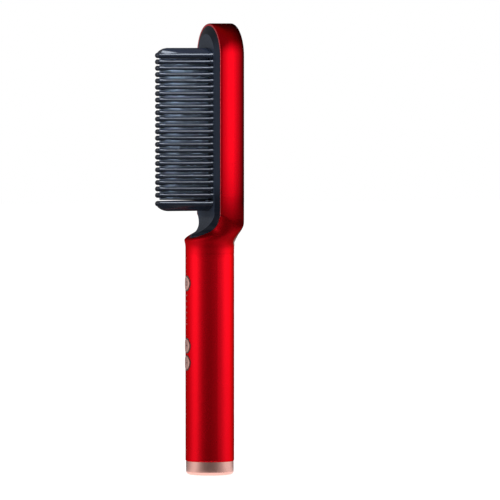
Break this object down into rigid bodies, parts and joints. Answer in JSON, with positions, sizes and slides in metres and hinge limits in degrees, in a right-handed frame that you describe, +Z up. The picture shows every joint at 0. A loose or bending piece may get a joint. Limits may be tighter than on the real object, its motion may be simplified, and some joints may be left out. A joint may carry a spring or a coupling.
{
  "type": "hot comb",
  "caption": "Heated straightening comb: round handle, long rounded head with guard teeth around a heated comb, push buttons, indicator lights and a swivelling cord entry.",
  "frame": {"origin": "on the handle axis at the bottom face of the end cap, at the mouth of the cord entry", "axes": "+Z up along the handle towards the head, -Y the front (teeth and buttons), +Y the back (panel), X the head's width"},
  "size_m": [0.0472, 0.0511, 0.285],
  "materials": {
    "shell_red": "metallic satin red lacquer",
    "panel_red": "satin metallic light red lacquer",
    "rose_gold": "polished rose-gold plating",
    "bezel_dark": "smooth dark grey",
    "guard_dark": "smooth blue-black",
    "heated_metal": "dark ceramic-coated",
    "carrier_plastic": "moulded, matte",
    "ceramic_white": "fired ceramic, matte",
    "mica": "layered sheet",
    "spring_steel": "rolled steel",
    "screw_steel": "zinc plated",
    "sensor_metal": "smooth can",
    "sleeve_white": "glass-fibre sleeve",
    "sleeve_brown": "insulated wire",
    "chassis_plastic": "moulded, matte",
    "board_green": "solder-masked laminate",
    "component_dark": "moulded component",
    "component_light": "moulded component",
    "ferrite": "ferrite",
    "led_lens": "translucent",
    "collar_dark": "glossy",
    "icon_dark": "inlaid",
    "swivel_dark": "moulded, matte",
    "contact_brass": "plated contact"
  },
  "bodies": {
    "comb": {"housing": "shell_red", "back_panel": "panel_red", "back_trim_ring": "rose_gold", "comb_bezel": "bezel_dark", "guard_comb_right": "guard_dark", "guard_comb_left": "guard_dark", "guard_end_top": "guard_dark", "guard_end_bottom": "guard_dark", "heating_comb": "heated_metal", "comb_carrier": "carrier_plastic", "ceramic_heaters": "ceramic_white", "mica_sheet": "mica", "heater_clamp": "spring_steel", "carrier_screws": "screw_steel", "clamp_screws": "screw_steel", "thermistor": "ceramic_white", "thermal_fuse": "sensor_metal", "thermistor_lead": "sleeve_white", "heater_wires": "sleeve_white", "supply_wires": "sleeve_brown", "chassis": "chassis_plastic", "chassis_screw": "screw_steel", "control_board": "board_green", "board_screws": "screw_steel", "controller_chip": "component_dark", "sensor_connector": "component_light", "power_board": "board_green", "input_terminal": "component_light", "line_fuse": "ceramic_white", "film_capacitor": "component_light", "choke": "ferrite", "relay": "component_dark", "output_terminal": "component_light", "tact_switches": "component_dark", "indicator_leds": "led_lens", "light_pipe": "led_lens", "button_collars": "collar_dark", "end_cap": "rose_gold", "end_plug": "chassis_plastic", "plug_screws": "screw_steel", "contact_brushes": "contact_brass"},
    "power_button": {"power_button": "rose_gold", "power_icon": "icon_dark", "power_stem": "carrier_plastic"},
    "plus_button": {"plus_button": "rose_gold", "plus_icon": "icon_dark", "plus_stem": "carrier_plastic"},
    "minus_button": {"minus_button": "rose_gold", "minus_icon": "icon_dark", "minus_stem": "carrier_plastic"},
    "cord_swivel": {"cord_swivel": "swivel_dark", "swivel_clip": "spring_steel", "slip_rings": "contact_brass"}
  },
  "joints": [
    {"name": "power_press", "type": "slide", "parent": "comb", "child": "power_button", "axis": [0, 1, 0], "range_m": [0, 0.0006], "stiffness_N_per_m": 700},
    {"name": "plus_press", "type": "slide", "parent": "comb", "child": "plus_button", "axis": [0, 1, 0], "range_m": [0, 0.0006], "stiffness_N_per_m": 700},
    {"name": "minus_press", "type": "slide", "parent": "comb", "child": "minus_button", "axis": [0, 1, 0], "range_m": [0, 0.0006], "stiffness_N_per_m": 700},
    {"name": "cord_turn", "type": "hinge", "parent": "comb", "child": "cord_swivel", "pos_m": [0, 0, 0], "axis": [0, 0, 1], "continuous": true}
  ]
}
